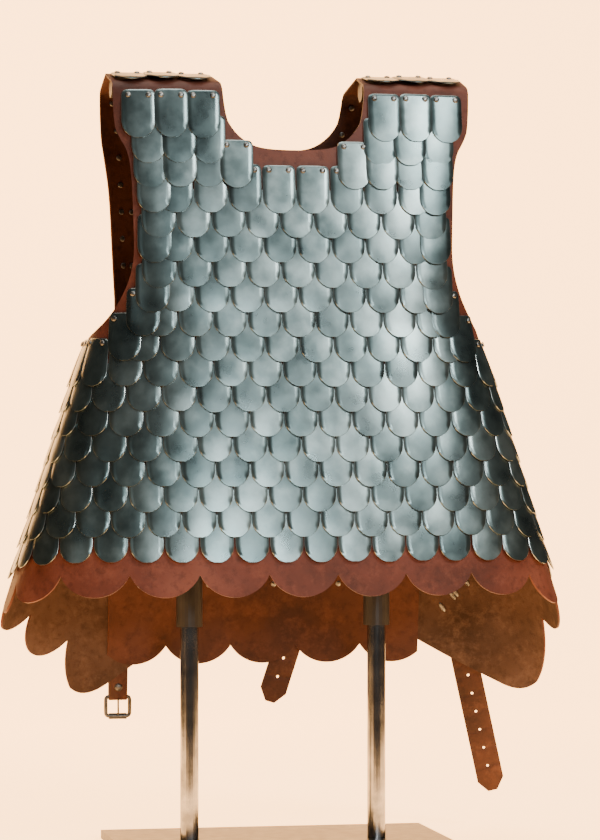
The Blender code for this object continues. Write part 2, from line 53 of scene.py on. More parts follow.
# %% Body sections
RIDGE = 1.1144
ARMPIT = 0.720
FRONT_HEM = 0.384
BACK_HEM = 0.272
LEATHER = 0.003
TUCK = 0.0048
SECTIONS = np.array([
    # pattern height, height, half width, half depth, squareness
    (0.1500, 0.1500, 0.4380, 0.1750, 3.0),
    (0.7200, 0.7200, 0.2623, 0.1065, 3.1),
    (0.7600, 0.7600, 0.2570, 0.1030, 3.3),
    (0.8000, 0.8000, 0.2590, 0.0985, 3.6),
    (0.9000, 0.9000, 0.2700, 0.0880, 3.9),
    (1.0360, 1.0360, 0.2960, 0.0720, 4.0),
    (1.0414, 1.0410, 0.2980, 0.0700, 4.0),
    (1.0495, 1.0450, 0.3000, 0.0630, 4.0),
    (RIDGE, 1.0605, 0.3000, 0.0000, 4.0),
])
# Flaps, left and right: station where the drop starts, drop per square metre, stations of the
# lower and upper corner, height of the upper corner; then the stations of the flaps' cusps
FLAPS = ((0.26, 0.565, 0.772, 0.815, 0.257), (0.26, 1.00, 0.648, 0.7525, 0.284))
FLAP_CUSPS = ((0.4203, 0.500, 0.595, 0.684, 0.820), (0.4203, 0.530, 0.690))
CORNER_CUT = 0.030
CORNER_STEPS = 9
FLAP_REACH = 0.195
FLAP_HEIGHTS = (0.690, 0.620, 0.550, 0.480, 0.410, 0.340, 0.300)
FLAP_OVERRUN = 1.4
TUCK_HEIGHTS = (0.72, 1.03)
NORMAL_STEP = 0.003
SECTION_STEPS = 721
STATION_GRID = np.linspace(-1.02, 1.02, 1021)
LEVEL_GRID = np.concatenate([np.linspace(0.12, 1.03, 456), np.linspace(1.0315, 1.1984, 160)])


def section_values(pattern):
    """Height, half width, half depth and squareness: the table read off in straight lines."""
    return [np.interp(pattern, SECTIONS[:, 0], SECTIONS[:, column]) for column in range(1, 5)]


def section_curve(pattern):
    """Rounded rectangle |x/a|^n + |y/b|^n = 1 from front to back, with its running length."""
    height, half_width, half_depth, squareness = section_values(pattern)
    angle = np.linspace(0.0, math.pi, SECTION_STEPS)
    power = 2.0 / squareness
    x = half_width * np.abs(np.sin(angle)) ** power
    y = -half_depth * np.sign(np.cos(angle)) * np.abs(np.cos(angle)) ** power
    length = np.concatenate(([0.0], np.cumsum(np.hypot(np.diff(x), np.diff(y)))))
    return length, x, y


def half_girth(height):
    """Length from the front centre line to the back centre line."""
    return float(section_curve(height)[0][-1])


def drop_at(station):
    """Rate times the square of how far a station lies past the drop's start, on its side."""
    station = np.asarray(station)
    start = np.where(station > 0.0, FLAPS[1][0], FLAPS[0][0])
    rate = np.where(station > 0.0, FLAPS[1][1], FLAPS[0][1])
    return rate * np.maximum(0.0, np.abs(station) - start) ** 2


def plain_grid():
    """x, y and z of the undropped surface on the station and level grid."""
    rows = []
    for level in LEVEL_GRID:
        over = level > RIDGE
        pattern = 2.0 * RIDGE - level if over else level
        length, x, y = section_curve(pattern)
        reach = np.abs(STATION_GRID)
        px = np.sign(STATION_GRID) * np.interp(reach, length, x)
        py = np.interp(reach, length, y) * (-1.0 if over else 1.0)
        rows.append(np.stack([px, py, np.full_like(px, section_values(pattern)[0])], axis=1))
    return np.array(rows)


PLAIN = plain_grid()


def read_grid(grid, station, level):
    """Value between four grid points, by straight shares along both ways."""
    column = (station - STATION_GRID[0]) / (STATION_GRID[1] - STATION_GRID[0])
    column = np.clip(column, 0, len(STATION_GRID) - 1.001)
    row = np.interp(level, LEVEL_GRID, np.arange(len(LEVEL_GRID)))
    row = np.clip(row, 0, len(LEVEL_GRID) - 1.001)
    left, low = column.astype(int), row.astype(int)
    across, up = (column - left)[..., None], (row - low)[..., None]
    bottom = grid[low, left] * (1 - across) + grid[low, left + 1] * across
    top = grid[low + 1, left] * (1 - across) + grid[low + 1, left + 1] * across
    return bottom * (1 - up) + top * up


def front_base(station, pattern):
    """Surface point of the front, after its flap rows have come down."""
    share = np.clip((ARMPIT - pattern) / (ARMPIT - FRONT_HEM), 0.0, FLAP_OVERRUN)
    return read_grid(PLAIN, station, pattern - drop_at(station) * share)


def out_point(base, station, pattern, offset):
    """Base point plus offset times the normal, which is the cross product of two small steps."""
    along = base(station + NORMAL_STEP, pattern) - base(station - NORMAL_STEP, pattern)
    up = base(station, pattern + NORMAL_STEP) - base(station, pattern - NORMAL_STEP)
    normal = np.cross(along, up)
    normal /= np.linalg.norm(normal, axis=-1, keepdims=True)
    return base(station, pattern) + normal * np.asarray(offset)[..., None]


def front_point(station, pattern, offset):
    """Point on the front leather; offset 0 is its inner face."""
    station, pattern, offset = np.broadcast_arrays(station, pattern, offset)
    return out_point(front_base, station, pattern, offset)


def back_point(station, pattern, offset):
    """Point on the back leather, which lies a little inside the front's surface."""
    station, pattern, offset = np.broadcast_arrays(station, pattern, offset)
    tucked = offset - np.interp(pattern, TUCK_HEIGHTS, (TUCK, 0.0))
    point = out_point(lambda s, p: read_grid(PLAIN, s, p), station, pattern, tucked)
    return point * np.array([1.0, -1.0, 1.0])


print("surface grid", PLAIN.shape)

# %% [markdown]
# Leather cut from a hide is a flat shape, so each panel is drawn flat first, in station and
# pattern height. It is cut into small squares with planes, which keeps the true edge, and then
# every point is moved onto the surface at once. A grid with holes knocked out would have jagged
# edges, and a Boolean would be slow.

# %% Outlines of the two panels
PITCH = 0.0467
LOBE_PITCH = 2.0 * PITCH
NECK = ((0.000, 0.955), (0.045, 0.957), (0.066, 0.965), (0.084, 0.981), (0.096, 1.003), (0.103, RIDGE))
ARMHOLE = ((0.247, RIDGE), (0.246, 0.992), (0.239, 0.972), (0.227, 0.953), (0.222, 0.920),
           (0.220, 0.845), (0.220, 0.808), (0.228, 0.775), (0.250, 0.736), (0.286, 0.709),
           (0.340, 0.697))
BACK_ARMHOLE = ((0.247, RIDGE), (0.246, 0.985), (0.240, 0.950), (0.233, 0.900), (0.230, 0.800),
                (0.228, 0.700))
BACK_HALF_WIDTH = 0.224
BACK_NECK_RISE = 0.011
BACK_SIDE_KNEE = 0.640
FRONT_LOBE_DEPTH = 0.030
BACK_LOBE_DEPTH = 0.026
CLOSEST_POINTS = 0.0005
TOP = RIDGE - 0.00015


def mirrored(points):
    """The same points on the other side, in reverse order."""
    return [(-station, pattern) for station, pattern in reversed(points)]


def lobe_edge(start, stop, hem, depth):
    """Arcs that hang between cusps, which are one lobe pitch apart except on the flaps."""
    cusps = (np.arange(-5, 5) + 0.5) * LOBE_PITCH
    cusps = np.sort(np.concatenate([-np.array(FLAP_CUSPS[0][1:]), cusps, FLAP_CUSPS[1][1:]]))
    step = PITCH / 10.0
    station = np.linspace(start, stop, int(abs(stop - start) / step))
    nearest = cusps[np.argmin(np.abs(station[:, None] - cusps), axis=1)]
    inside = (nearest > min(start, stop)) & (nearest < max(start, stop))
    station = np.where((np.abs(station - nearest) < step * 0.51) & inside, nearest, station)
    index = np.clip(np.searchsorted(cusps, station), 1, len(cusps) - 1)
    reach = (cusps[index] - cusps[index - 1]) / 2.0
    radius = (reach ** 2 + depth ** 2) / (2.0 * depth)
    off_centre = np.minimum(np.abs(station - (cusps[index] + cusps[index - 1]) / 2.0), reach)
    drop = np.sqrt(radius ** 2 - off_centre ** 2) - (radius - depth)
    keep = np.concatenate(([True], np.abs(np.diff(station)) > CLOSEST_POINTS))
    return list(zip(station[keep].tolist(), (hem - drop)[keep].tolist()))


def pattern_of(station, height):
    """Pattern height whose point comes down to this height."""
    rate = float(drop_at(station)) / (ARMPIT - FRONT_HEM)
    return (height + rate * ARMPIT) / (1.0 + rate)


def flap_edge(side):
    """End edge of a side flap down to its lowest corner."""
    low_station, high_station, high_height = FLAPS[1 if side > 0 else 0][2:]
    edge = [(side * (half_girth(height) - FLAP_REACH), height) for height in FLAP_HEIGHTS]
    edge.append((side * high_station, high_height))
    return [(station, pattern_of(station, height)) for station, height in edge], side * low_station


def flap_corner(above, hem):
    """Hem points from a flap's lowest corner, which gives way to a curve from its end edge."""
    corner = np.array(hem[0])
    kept = [point for point in hem if abs(point[0] - corner[0]) > CORNER_CUT]
    start = corner + (np.array(above) - corner) * CORNER_CUT / math.dist(above, corner)
    share = np.arange(CORNER_STEPS)[:, None] / CORNER_STEPS
    first = start + (corner - start) * share
    second = corner + (np.array(kept[0]) - corner) * share
    return [tuple(place) for place in (first + (second - first) * share).tolist()] + kept


def softened(points, rounds=2):
    """Corner cutting: each corner gives way to points a quarter along its two sides."""
    for _ in range(rounds):
        places = np.array(points)
        first = places[:-1] * 0.75 + places[1:] * 0.25
        second = places[:-1] * 0.25 + places[1:] * 0.75
        middle = np.stack([first, second], axis=1).reshape(-1, 2)
        points = [tuple(places[0])] + [tuple(place) for place in middle[1:-1]] + [tuple(places[-1])]
    return points


def front_outline():
    """Neck, right armhole and flap, lobed hem, left flap and armhole."""
    right_edge, right_corner = flap_edge(1)
    left_edge, left_corner = flap_edge(-1)
    neck = [(station, min(pattern, TOP)) for station, pattern in mirrored(NECK)[:-1] + list(NECK)]
    neck = softened(neck)
    armhole = softened([(station, min(pattern, TOP)) for station, pattern in ARMHOLE])
    hem = lobe_edge(right_corner, left_corner, FRONT_HEM, FRONT_LOBE_DEPTH)
    hem = flap_corner(right_edge[-1], hem)
    hem = flap_corner(left_edge[-1], hem[::-1])[::-1]
    return neck + armhole + right_edge + hem + list(reversed(left_edge)) + mirrored(armhole)


def back_outline():
    """The same pieces for the longer back."""
    raised = [(station, min(pattern + BACK_NECK_RISE, TOP)) for station, pattern in NECK]
    neck = softened(mirrored(raised)[:-1] + raised)
    side = softened([(station, min(pattern, TOP)) for station, pattern in BACK_ARMHOLE])
    side = side + [(BACK_HALF_WIDTH, BACK_SIDE_KNEE)]
    hem = lobe_edge(BACK_HALF_WIDTH, -BACK_HALF_WIDTH, BACK_HEM, BACK_LOBE_DEPTH)
    return neck + side + hem + mirrored(side)


FRONT = front_outline()
BACK = back_outline()
print("outline points", len(FRONT), len(BACK))

# %% Panels from their outlines
HIDE_CELL = 0.009
JOIN_DISTANCE = 0.0003
SWELL = 0.00025
SHARP_EDGE = 50.0


def flat_grid(outline, cell, holes=()):
    """Flat faces inside an outline and outside its holes, cut along evenly spaced lines."""
    grid = bmesh.new()
    rings = [[grid.verts.new((station, pattern, 0.0)) for station, pattern in loop]
             for loop in (outline, *holes)]
    if holes:
        rims = [grid.edges.new(pair) for ring in rings for pair in zip(ring, ring[1:] + ring[:1])]
        bmesh.ops.triangle_fill(grid, use_beauty=True, edges=rims, normal=(0.0, 0.0, 1.0))
    else:
        grid.faces.new(rings[0])
    edges = np.array(outline)
    for axis, direction in ((0, (1.0, 0.0, 0.0)), (1, (0.0, 1.0, 0.0))):
        lines = np.arange(edges[:, axis].min(), edges[:, axis].max(), cell)[1:]
        for line in lines:
            place = [0.0, 0.0, 0.0]
            place[axis] = line
            geometry = grid.verts[:] + grid.edges[:] + grid.faces[:]
            bmesh.ops.bisect_plane(grid, geom=geometry, dist=JOIN_DISTANCE, plane_co=place,
                                   plane_no=direction)
    bmesh.ops.triangulate(grid, faces=[face for face in grid.faces if len(face.verts) > 4])
    grid.verts.index_update()
    places = np.array([vert.co[:2] for vert in grid.verts])
    faces = [[vert.index for vert in face.verts] for face in grid.faces]
    rim = [[edge.verts[0].index, edge.verts[1].index] for edge in grid.edges if edge.is_boundary]
    grid.free()
    return places, faces, rim


def hide_swell(station, pattern, seed):
    """Slow waves of a worn hide: three sine products of different lengths, under 1 mm."""
    wave = np.sin(station * 31.0 + seed) * np.sin(pattern * 23.0 + 2.0 * seed)
    wave = wave + 0.6 * np.sin(station * 67.0 + pattern * 41.0 + seed)
    return SWELL * wave


def faces_out(mesh):
    """Turn the faces of a closed mesh outwards."""
    solid = bmesh.new()
    solid.from_mesh(mesh)
    bmesh.ops.recalc_face_normals(solid, faces=solid.faces[:])
    solid.to_mesh(mesh)
    solid.free()


def new_piece(name, mesh, sharp=None):
    """Object of a finished mesh, smooth but for edges past the sharp angle, on the one body."""
    mesh.shade_smooth()
    if sharp is not None:
        mesh.set_sharp_from_angle(angle=math.radians(sharp))
    piece = bpy.data.objects.new(name, mesh)
    bpy.context.scene.collection.objects.link(piece)
    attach(piece, "root")
    return piece


def panel_mesh(name, outline, point, seed, faces_at=(0.0, LEATHER), cell=HIDE_CELL, holes=()):
    """Outer and inner copy of the flat grid, moved onto the surface and joined round the rim."""
    places, faces, rim = flat_grid(outline, cell, holes)
    station, pattern = places[:, 0], places[:, 1]
    swell = hide_swell(station, pattern, seed)
    outer = point(station, pattern, faces_at[1] + swell)
    inner = point(station, pattern, faces_at[0] + swell)
    count = len(places)
    every = faces + [[index + count for index in reversed(face)] for face in faces]
    every += [[second, first, first + count, second + count] for first, second in rim]
    mesh = bpy.data.meshes.new(name)
    mesh.from_pydata(np.concatenate([outer, inner]).tolist(), [], every)
    sides = np.zeros(len(every), dtype=np.int32)
    sides[len(faces):2 * len(faces)] = 1
    mesh.polygons.foreach_set("material_index", sides)
    flat = mesh.attributes.new("cut", "FLOAT_VECTOR", "POINT")
    spread = np.concatenate([places, places])
    flat.data.foreach_set("vector", np.column_stack([spread, np.zeros(len(spread))]).ravel())
    faces_out(mesh)
    return new_piece(name, mesh, SHARP_EDGE)


def cut_area(outline):
    """Shoelace formula."""
    corners = np.array(outline)
    after = np.roll(corners, -1, axis=0)
    return 0.5 * abs(float(np.sum(corners[:, 0] * after[:, 1] - after[:, 0] * corners[:, 1])))


front_hide = panel_mesh("front_hide", FRONT, front_point, seed=0.7)
back_hide = panel_mesh("back_hide", BACK, back_point, seed=2.1)
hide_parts("leather_front")
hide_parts("leather_back")
for hide, outline in ((front_hide, FRONT), (back_hide, BACK)):
    corners = np.array(outline)
    width, length = np.ptp(corners[:, 0]), np.ptp(corners[:, 1])
    print(hide.name, len(hide.data.polygons), "faces, cut", round(width, 3), "x", round(length, 3),
          "m, area", round(cut_area(outline), 3))

# %% [markdown]
# A scale is a steel plate with rounded upper corners and a half-round lower end, riveted twice
# near its top. It is a grid in two parameters, across and down, whose half width follows the
# outline. The grid's outer ring lies lower than its neighbour, so each plate has a bevel that
# catches the light, and the same points in an attribute make the bright edge, a worn edge that is
# also a painted highlight. Bending each plate with the surface keeps the rows nested like tiles,
# where flat plates would cut corners.

# %% One scale
SCALE_WIDTH = 0.0450
SCALE_LENGTH = 0.066
SCALE_THICK = 0.0012
TOP_CORNER = 0.007
DISH = 0.0009
BEVEL_SHARE = 0.45
ACROSS = np.array([-1.0, -0.955, -0.66, -0.33, 0.0, 0.33, 0.66, 0.955, 1.0])
ROUND_STEPS = np.radians(np.array([0.0, 20.0, 38.0, 54.0, 67.0, 77.0, 81.0]))


def scale_grid():
    """Station, drop, height over the leather and nearness to the edge, all for unit width.

    The half width is a quarter circle at the upper corners, straight, then a half circle."""
    radius = SCALE_WIDTH / 2.0
    corner = np.array([0.0, 0.0009, 0.0030, TOP_CORNER])
    body = np.array([0.018, 0.030])
    round_end = SCALE_LENGTH - radius + radius * np.sin(ROUND_STEPS)
    down = np.concatenate([corner, body, round_end])
    half = np.full_like(down, radius)
    at_top = down < TOP_CORNER
    half[at_top] -= TOP_CORNER - np.sqrt(TOP_CORNER ** 2 - (TOP_CORNER - down[at_top]) ** 2)
    at_end = down > SCALE_LENGTH - radius
    past = down[at_end] - SCALE_LENGTH + radius
    half[at_end] = np.sqrt(np.maximum(radius ** 2 - past ** 2, 0.0))
    across = ACROSS[None, :] * half[:, None]
    depth = np.repeat(down[:, None], len(ACROSS), axis=1)
    edge = np.zeros_like(across)
    edge[:, (0, -1)] = 1.0
    edge[(0, -1), :] = 1.0
    dish = DISH * (1.0 - ACROSS[None, :] ** 2)
    dish = dish * np.sin(np.pi * np.clip(depth / SCALE_LENGTH, 0, 1))
    rise = SCALE_THICK * np.where(edge > 0.5, BEVEL_SHARE, 1.0) + dish * (1.0 - edge)
    return across, depth, rise, edge


def grid_faces(rows, columns):
    """Index quads of a rectangular grid."""
    index = np.arange(rows * columns).reshape(rows, columns)
    corners = (index[:-1, :-1], index[1:, :-1], index[1:, 1:], index[:-1, 1:])
    return np.stack(corners, axis=-1).reshape(-1, 4)


def ring_order(rows, columns):
    """Indices round the border of a grid."""
    index = np.arange(rows * columns).reshape(rows, columns)
    return np.concatenate([index[0, :], index[1:, -1], index[-1, -2::-1], index[-2:0:-1, 0]])


def scale_template():
    """Front grid, a flat back grid and the rim between them, as arrays for all scales."""
    across, depth, rise, edge = scale_grid()
    rows, columns = across.shape
    count = rows * columns
    front = grid_faces(rows, columns)
    back = front[:, ::-1] + count
    ring = ring_order(rows, columns)
    after = np.roll(ring, -1)
    rim = np.stack([ring, after, after + count, ring + count], axis=1)
    station = np.concatenate([across.ravel(), across.ravel()])
    drop = np.concatenate([depth.ravel(), depth.ravel()])
    height = np.concatenate([rise.ravel(), np.zeros(count)])
    near = np.concatenate([edge.ravel(), np.ones(count)])
    return station, drop, height, near, np.concatenate([front, back, rim])


SCALE = scale_template()
print("points and faces of a scale", len(SCALE[0]), len(SCALE[4]))

# %% [markdown]
# Each row of scales is one piece. Its scales are made together: the template's arrays are
# repeated for every scale, turned and lifted by small seeded amounts, and sent through the
# surface in one call. Separate objects would be slower, and instances could not bend.

# %% Rows of scales
ROW_PITCH = 0.0335
BACK_ROW_PITCH = 0.0372
TOP_ROW = 0.969
FRONT_ROWS = 18
BACK_ROWS = 19
RIVET_INSET = 0.007
RIVET_SPREAD = 0.0135
EDGE_MARGIN = 0.006
NARROW = 0.012
SHOULDER_SPAN = 0.16
BACK_SCALE_REACH = 0.1945
COVERED_LENGTH = 0.048
WHOLE_GIRTH = 1.0
NOWHERE = (-9.0, -9.0)
COUNT_UP = 0.3
SHOULDER_LIFT = 0.0013
END_LIFT = 0.0012
# Seat at a row's covered top, and its rise down one row pitch: side rows of the front, others
SIDE_SEAT = (0.0012, 0.0024)
PLAIN_SEAT = (0.0009, 0.0021)
LOWEST_SEAT = 0.0003
TURN_SPREAD = 0.010
TURN_CENTRE = 0.010
FLARE_SPREAD = 0.0007
NUDGE_SPREAD = 0.00042
SHARP_PLATE = 40.0
chance = np.random.default_rng(7)


def spans(outline, level):
    """Where a level line is inside an outline, from sorted crossings."""
    start = np.array(outline)
    stop = np.roll(start, -1, axis=0)
    cut = (start[:, 1] > level) != (stop[:, 1] > level)
    share = (level - start[cut, 1]) / (stop[cut, 1] - start[cut, 1])
    crossings = np.sort(start[cut, 0] + (stop[cut, 0] - start[cut, 0]) * share)
    return list(zip(crossings[::2], crossings[1::2]))


def row_spans(outline, bottom, reach):
    """Stretches with leather behind both the rivets and the lower ends."""
    stretches = []
    for start, stop in spans(outline, bottom + SCALE_LENGTH - RIVET_INSET):
        for low, high in spans(outline, bottom + EDGE_MARGIN):
            left = max(start, low, -reach) + EDGE_MARGIN
            right = min(stop, high, reach) - EDGE_MARGIN
            if right - left > PITCH:
                stretches.append((left, right))
    return stretches


def scale_places(low, high, row):
    """Centre and lift of each scale in a stretch; a leftover gets a scale on top."""
    if high - low < SHOULDER_SPAN:
        count = round((high - low) / PITCH + COUNT_UP)
        edges = np.linspace(low, high, count + 1)
        return (edges[1:] + edges[:-1]) / 2.0, np.arange(count) % 2 * SHOULDER_LIFT
    shift = 0.0 if row % 2 else PITCH / 2.0
    first = math.ceil((low - shift) / PITCH - 0.001)
    last = math.floor((high - shift) / PITCH + 0.001)
    edges = shift + PITCH * np.arange(first, last + 1)
    centre = (edges[1:] + edges[:-1]) / 2.0
    lift = np.zeros(len(centre))
    if edges[0] - low > NARROW:
        centre = np.concatenate([[low + SCALE_WIDTH / 2.0], centre])
        lift = np.concatenate([[END_LIFT], lift])
    if high - edges[-1] > NARROW:
        centre = np.concatenate([centre, [high - SCALE_WIDTH / 2.0]])
        lift = np.concatenate([lift, [END_LIFT]])
    return centre, lift


def seat_of(point, bottom, pattern):
    """Height of a row's underside: a slope that stands its lower ends over the rows below."""
    seat, rise = SIDE_SEAT if point is front_point and bottom < ARMPIT else PLAIN_SEAT
    top = bottom + (SCALE_LENGTH if bottom > ARMPIT else COVERED_LENGTH)
    return LEATHER + np.maximum(seat + rise / ROW_PITCH * (top - pattern), LOWEST_SEAT)


def scale_row(name, node, places, bottom, point):
    """All scales of a row: the template, turned in its plane, lifted, and sent to the surface."""
    centre, lift = places
    station, drop, height, near, faces = SCALE
    number = len(centre)
    turn = chance.normal(0.0, TURN_SPREAD, number)[:, None]
    flare = np.abs(chance.normal(0.0, FLARE_SPREAD, number))[:, None]
    nudge = chance.normal(0.0, NUDGE_SPREAD, number)[:, None]
    across = centre[:, None] + station + turn * (drop - TURN_CENTRE)
    pattern = bottom + SCALE_LENGTH - drop + turn * station + nudge
    down = np.clip(drop / SCALE_LENGTH, 0.0, 1.0)
    offset = seat_of(point, bottom, pattern) + height + lift[:, None] + flare * down ** 2
    points = point(across, pattern, offset).reshape(-1, 3)
    start = (np.arange(number) * len(station))[:, None, None]
    every = (faces[None, :, :] + start).reshape(-1, 4)
    mesh = bpy.data.meshes.new(name)
    mesh.from_pydata(points.tolist(), [], every.tolist())
    tone = np.repeat(chance.random(number), len(station))
    for label, values in (("tone", tone), ("edge", np.tile(near, number))):
        mesh.attributes.new(label, "FLOAT", "POINT").data.foreach_set("value", values)
    row = new_piece(name, mesh, SHARP_PLATE)
    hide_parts(node)
    return row


def rivet_rows(places, bottom):
    """Station, pattern height and lift of both rivets of each scale, one array a side."""
    centre, lift = places
    level = np.full(len(centre), bottom + SCALE_LENGTH - RIVET_INSET)
    return [np.column_stack([centre + shift, level, lift]) for shift in (-RIVET_SPREAD, RIVET_SPREAD)]


def panel_rows(panel, outline, point, bottoms, reach):
    """Rows of a panel and the places of all their rivets, marked where they are in sight."""
    rows, rivets, above = [], [], [NOWHERE]
    for row, bottom in enumerate(bottoms):
        stretches = row_spans(outline, bottom, reach if bottom < ARMPIT else WHOLE_GIRTH)
        for low, high in stretches:
            side = "" if len(stretches) == 1 else ("_right" if low > 0.0 else "_left")
            places = scale_places(low, high, row)
            rows.append(scale_row(f"{panel}_plates_{row:02d}{side}", f"{panel}_scales_{row:02d}{side}",
                                  places, bottom, point))
            for pair in rivet_rows(places, bottom):
                clear = [(pair[:, 0] < left) | (pair[:, 0] > right) for left, right in above]
                rivets.append(np.column_stack([pair, np.all(clear, axis=0)]))
        above = stretches
    return rows, np.concatenate(rivets)


front_bottoms = TOP_ROW - ROW_PITCH * np.arange(FRONT_ROWS)
back_bottoms = TOP_ROW - BACK_ROW_PITCH * np.arange(BACK_ROWS)
front_rows, front_rivets = panel_rows("front", FRONT, front_point, front_bottoms, WHOLE_GIRTH)
back_rows, back_rivets = panel_rows("back", BACK, back_point, back_bottoms, BACK_SCALE_REACH)
RIDGE_GAP = 0.0015
RIDGE_BOTTOM = RIDGE - RIDGE_GAP - SCALE_LENGTH
ridge_rivets = []
for low, high in row_spans(FRONT, RIDGE_BOTTOM, WHOLE_GIRTH):
    side = "right" if low > 0.0 else "left"
    places = scale_places(low, high, 0)
    front_rows.append(scale_row(f"ridge_plates_{side}", f"ridge_scales_{side}",
                                places, RIDGE_BOTTOM, front_point))
    for pair in rivet_rows(places, RIDGE_BOTTOM):
        ridge_rivets.append(np.column_stack([pair, np.ones(len(pair))]))
front_rivets = np.concatenate([front_rivets] + ridge_rivets)
print("rows", len(front_rows), len(back_rows), "rivets", len(front_rivets), len(back_rivets))

# %% [markdown]
# A rivet head is a low dome. Only the rivets that no upper row covers are in sight from outside,
# but every rivet shows inside the vest, where its shank is hammered over on the flesh side. All
# heads of a panel are one mesh, made from one small dome whose points are repeated.

# %% Rivets
HEAD_RADIUS = 0.0041
HEAD_HEIGHT = 0.0020
HEAD_SEAT = 0.0030
END_RADIUS = 0.0042
END_HEIGHT = 0.0012
END_SINK = 0.0002
DOME_LIFTS = (0.0, 32.0, 62.0)


def dome_template(radius, height, sides=10):
    """Rings of a squashed half sphere: radius times cosine out, height times sine up."""
    lift = np.radians(np.array(DOME_LIFTS))
    turn = np.linspace(0.0, 2.0 * np.pi, sides, endpoint=False)
    east = (radius * np.cos(lift)[:, None] * np.cos(turn)).ravel()
    north = (radius * np.cos(lift)[:, None] * np.sin(turn)).ravel()
    up = np.repeat(height * np.sin(lift), sides)
    index = np.arange(sides)
    after = (index + 1) % sides
    ring = np.stack([index, after, after + sides, index + sides], axis=1)
    walls = np.concatenate([ring, ring + sides]).tolist()
    faces = walls + [list(range(2 * sides, 3 * sides)), list(range(sides))[::-1]]
    return east, north, up, faces


def rivet_piece(name, rivets, point, base, radius, height, direction=1.0):
    """Domes on the surface, each at a rivet's station and pattern height, on its own base."""
    east, north, up, faces = dome_template(radius, height)
    station = rivets[:, 0][:, None] + east
    pattern = rivets[:, 1][:, None] + north
    points = point(station, pattern, base[:, None] + direction * up).reshape(-1, 3)
    starts = [len(east) * number for number in range(len(rivets))]
    every = [[corner + start for corner in face] for start in starts for face in faces]
    if direction < 0.0:
        every = [face[::-1] for face in every]
    mesh = bpy.data.meshes.new(name)
    mesh.from_pydata(points.tolist(), [], every)
    piece = new_piece(name, mesh)
    print(name, len(rivets))
    return piece


rivet_pieces = []
for panel, rivets, point in (("front", front_rivets, front_point), ("back", back_rivets, back_point)):
    seen = rivets[rivets[:, 3] > 0.5]
    outside = LEATHER + HEAD_SEAT + seen[:, 2]
    inside = np.full(len(rivets), -END_SINK)
    heads = rivet_piece(f"{panel}_rivet_heads", seen, point, outside, HEAD_RADIUS, HEAD_HEIGHT)
    ends = rivet_piece(f"{panel}_rivet_ends", rivets, point, inside, END_RADIUS, END_HEIGHT, -1.0)
    rivet_pieces += [heads, ends]

# %% [markdown]
# The straps are thick leather that was cut flat and punched, so they go through the same steps
# as the panels, with an outline that has holes. A strap hangs in a straight line from its seat,
# cups a little across its width and has a crease at each hole, where it was buckled. The folded
# strap is a band with rounded edges, carried along its route round the buckle's bar.

# %% Straps and buckle
SEAM = 0.0003
STRAP_WIDTH = 0.038
STRAP_THICK = 0.0026
STRAP_CELL = 0.0028
TIP_LENGTH = 0.016
TIP_SHARE = 0.35
HOLE_RADIUS = 0.0021
TIP_TO_HOLE = 0.036
HOLE_PITCH = 0.0265
CREASE_DEPTH = 0.0007
CREASE_REACH = 0.0022
CREASE_SLANT = 0.10
STRAP_CUP = 0.0009
SHOULDER_STATION = 0.172
SHOULDER_REACH = 0.055
HANGING = (
    # name, station, top, sideways lean, length, holes, distance out of the back leather
    ("long_strap", 0.255, 0.400, 0.255, 0.346, 6, 0.0101),
    ("upper_strap", 0.077, 0.400, -0.300, 0.212, 5, 0.0076),
)
BUCKLE_STATION = -0.205
BUCKLE_STRAP_TOP = 0.380
BUCKLE_STRAP_OVER = 0.0084
BUCKLE_STRAP_WIDTH = 0.026
BUCKLE_WIRE = 0.0052
BUCKLE_SQUARENESS = 7.0
BUCKLE_STEPS = 64
FOLD_LENGTH = 0.034
FOLD_STEPS = 5
FOLD_TURN = (195.0, 360.0)
TURN_STEPS = 12
HANG_STEPS = 25
BAND_EDGE = 0.0007
WIRE_SIDES = 12
ROLLER_HALF = 0.0125
ROLLER_RADIUS = 0.0043
STUD_RADIUS = 0.0060
STUD_HEIGHT = 0.0026
STUD_ABOVE_BAR = 0.0135
STUD_SINK = 0.0002


def hanging_seat(station, top, low, stand_off):
    """Seat on the back, fall away from it per metre of height, and direction of the width."""
    places = back_point(np.full(2, station), np.array([top, low]), np.full(2, LEATHER + stand_off))
    fall = (places[1, 1] - places[0, 1]) / (places[0, 2] - places[1, 2])
    sides = back_point(station + PITCH * np.array([-0.5, 0.5]), np.full(2, top), np.zeros(2))
    across = (sides[1] - sides[0]) / np.linalg.norm(sides[1] - sides[0])
    return places[0], fall, across


def hanging_point(seat, fall, across, lean, holes):
    """Function from place across, drop along and height to a point of a hanging strap."""
    down = np.array([lean, fall, -1.0])
    side = np.array([across[0], across[1], lean])
    side /= np.linalg.norm(side)
    out = np.cross(side, down)
    out /= np.linalg.norm(out)

    def point(width, drop, height):
        slanted = drop + CREASE_SLANT * width
        crease = sum(np.exp(-((slanted - hole) / CREASE_REACH) ** 2) for hole in holes)
        cup = STRAP_CUP * (width / STRAP_WIDTH) ** 2
        lift = height - STRAP_THICK / 2.0 + cup + CREASE_DEPTH * crease
        return seat + side * width[:, None] + down * drop[:, None] + out * lift[:, None]
    return point


def circle(centre, radius, sides=10):
    """Points round a circle."""
    turns = np.linspace(0.0, 2.0 * np.pi, sides, endpoint=False)
    return [(centre[0] + radius * math.cos(turn), centre[1] + radius * math.sin(turn))
            for turn in turns]


